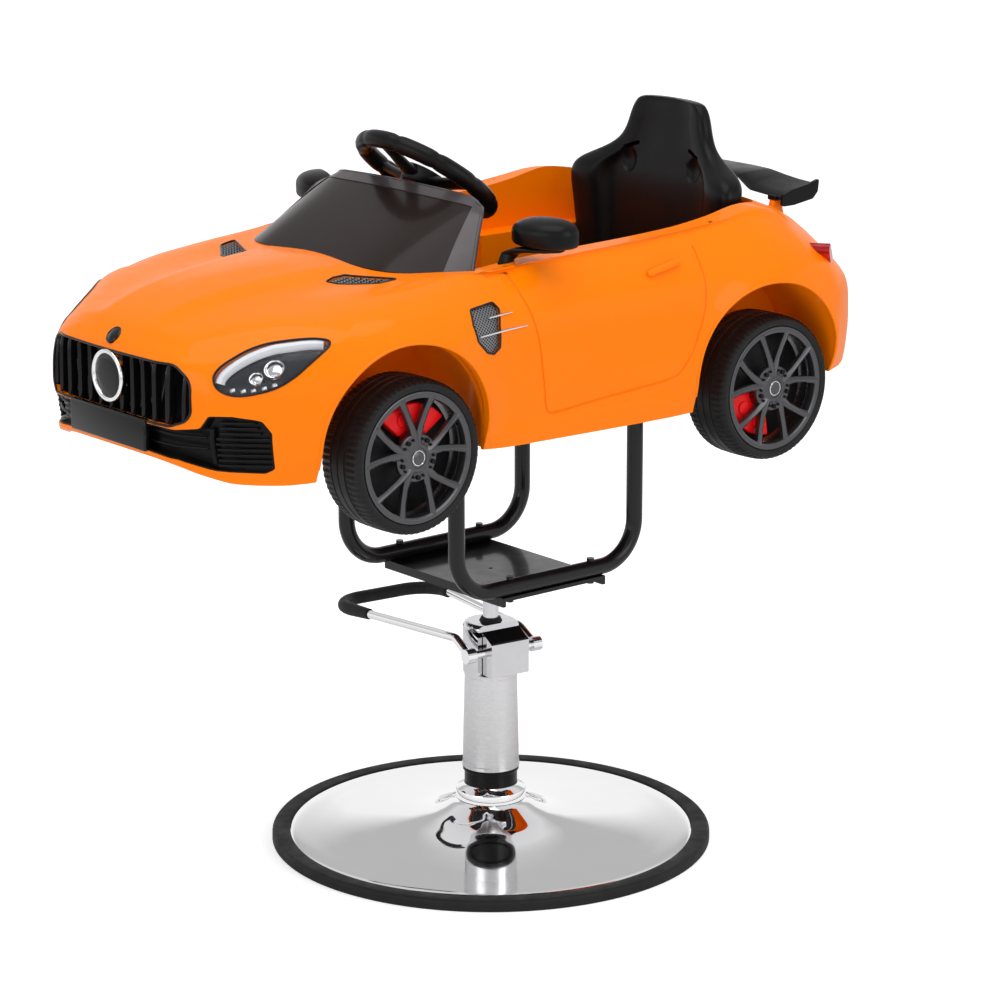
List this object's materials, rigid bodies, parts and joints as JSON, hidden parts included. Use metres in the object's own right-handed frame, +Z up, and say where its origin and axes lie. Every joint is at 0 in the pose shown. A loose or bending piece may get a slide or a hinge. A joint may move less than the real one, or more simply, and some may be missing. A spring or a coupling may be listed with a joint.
{
  "type": "kids car barber chair",
  "caption": "Barber chair for children: a ride-on sports car seat on tube loops over a pump column, foot lever and round base.",
  "frame": {"origin": "floor level under the axis of the pump column", "axes": "+Z up, -Y towards the car's nose, +X to the car's left side"},
  "size_m": [0.5999, 1.1063, 0.9905],
  "materials": {
    "painted_steel": "black powder coat",
    "chrome_plate": "polished chrome plate",
    "brushed_steel": "satin stainless sleeve",
    "bare_steel": "ground steel",
    "black_rubber": "matt rubber",
    "black_plastic": "lightly grained black plastic",
    "gloss_black": "gloss black plastic",
    "orange_shell": "gloss orange moulded shell",
    "smoked_screen": "dark smoked panel",
    "screen_border": "grey satin border",
    "lamp_housing": "dark lamp body with bright inserts",
    "clear_lens": "clear lens",
    "red_lens": "translucent red",
    "bright_trim": "bright plated plastic",
    "vent_mesh": "dark grey mesh with bright strips",
    "mirror_film": "mirror film",
    "red_plastic": "gloss red",
    "tyre_black": "hard black tyre",
    "wheel_grey": "dark grey satin"
  },
  "bodies": {
    "base": {"base_bottom_plate": "painted_steel", "base_rim_ring": "black_rubber", "base_dish": "chrome_plate", "pump_flange": "chrome_plate", "lower_collar": "black_plastic", "pump_cylinder": "bare_steel", "column_shroud": "brushed_steel", "pump_head": "chrome_plate", "pump_cover": "chrome_plate", "cover_panel": "painted_steel", "ram_seal": "black_rubber"},
    "lever": {"lever_shaft": "chrome_plate", "pedal_bar": "chrome_plate", "pedal_grip": "black_rubber"},
    "lift": {"ram": "bare_steel"},
    "carriage": {"mounting_plate": "painted_steel", "tube_loop_left": "painted_steel", "tube_loop_right": "painted_steel", "loop_bolts": "bare_steel", "floor_pan": "painted_steel", "car_body": "orange_shell", "dashboard": "black_plastic", "windscreen": "smoked_screen", "windscreen_frame": "screen_border", "seat": "black_plastic", "headlight_left": "lamp_housing", "headlight_right": "lamp_housing", "headlight_lenses": "clear_lens", "tail_lamps": "red_lens", "grille": "gloss_black", "grille_disc": "bright_trim", "number_board": "gloss_black", "lower_grille": "black_plastic", "hood_vents": "black_plastic", "fender_vents": "vent_mesh", "mirror_left": "black_plastic", "mirror_right": "black_plastic", "mirror_glasses": "mirror_film", "rear_wing": "gloss_black", "wing_struts": "orange_shell", "kingpins": "bare_steel", "rear_axle": "bare_steel", "calipers_rear": "red_plastic"},
    "steering": {"steering_wheel": "black_plastic"},
    "horn": {"horn_button": "black_plastic"},
    "accelerator": {"accelerator_pedal": "black_plastic"},
    "knuckle_left": {"knuckle_left": "painted_steel", "caliper_front_left": "red_plastic"},
    "knuckle_right": {"knuckle_right": "painted_steel", "caliper_front_right": "red_plastic"},
    "tie_rod": {"tie_rod": "bare_steel"},
    "wheel_front_left": {"tyre_front_left": "tyre_black", "rim_front_left": "wheel_grey"},
    "wheel_front_right": {"tyre_front_right": "tyre_black", "rim_front_right": "wheel_grey"},
    "wheel_rear_left": {"tyre_rear_left": "tyre_black", "rim_rear_left": "wheel_grey"},
    "wheel_rear_right": {"tyre_rear_right": "tyre_black", "rim_rear_right": "wheel_grey"}
  },
  "joints": [
    {"name": "lift", "type": "slide", "parent": "base", "child": "lift", "axis": [0, 0, 1], "range_m": [0, 0.12]},
    {"name": "swivel", "type": "hinge", "parent": "lift", "child": "carriage", "pos_m": [0, 0, 0.36], "axis": [0, 0, 1], "continuous": true},
    {"name": "pump_pedal", "type": "hinge", "parent": "base", "child": "lever", "pos_m": [0.02785, -0.00293, 0.271], "axis": [0.1045, 0.9945, 0], "range_deg": [-22, 0], "stiffness_Nm_per_rad": 8, "springref_deg": 22.92},
    {"name": "steering", "type": "hinge", "parent": "carriage", "child": "steering", "pos_m": [0, -0.107, 0.926], "axis": [0, 0.5878, 0.809], "range_deg": [-36, 36]},
    {"name": "horn_press", "type": "slide", "parent": "steering", "child": "horn", "axis": [0, -0.5878, -0.809], "range_m": [0, 0.003], "stiffness_N_per_m": 600, "springref_m": -0.002},
    {"name": "accelerator", "type": "hinge", "parent": "carriage", "child": "accelerator", "pos_m": [0.062, -0.30673, 0.657], "axis": [1, 0, 0], "range_deg": [0, 12], "stiffness_Nm_per_rad": 0.5, "springref_deg": -14.32},
    {"name": "steer_left", "type": "hinge", "parent": "carriage", "child": "knuckle_left", "pos_m": [0.176, -0.338, 0.637], "axis": [0, 0, 1], "range_deg": [-12, 12]},
    {"name": "steer_right", "type": "hinge", "parent": "carriage", "child": "knuckle_right", "pos_m": [-0.176, -0.338, 0.637], "axis": [0, 0, 1], "range_deg": [-12, 12]},
    {"name": "tie_rod_slide", "type": "slide", "parent": "carriage", "child": "tie_rod", "axis": [1, 0, 0], "range_m": [-0.0085, 0.0085]},
    {"name": "spin_front_left", "type": "hinge", "parent": "knuckle_left", "child": "wheel_front_left", "pos_m": [0.237, -0.338, 0.637], "axis": [1, 0, 0], "continuous": true},
    {"name": "spin_front_right", "type": "hinge", "parent": "knuckle_right", "child": "wheel_front_right", "pos_m": [-0.237, -0.338, 0.637], "axis": [1, 0, 0], "continuous": true},
    {"name": "spin_rear_left", "type": "hinge", "parent": "carriage", "child": "wheel_rear_left", "pos_m": [0.237, 0.262, 0.637], "axis": [1, 0, 0], "continuous": true},
    {"name": "spin_rear_right", "type": "hinge", "parent": "carriage", "child": "wheel_rear_right", "pos_m": [-0.237, 0.262, 0.637], "axis": [1, 0, 0], "continuous": true}
  ],
  "couplings": [
    {"joint": "steer_left", "follows": "steering", "ratio": 0.33333},
    {"joint": "steer_right", "follows": "steering", "ratio": 0.33333},
    {"joint": "tie_rod_slide", "follows": "steering", "m_per_rad": -0.013333}
  ]
}
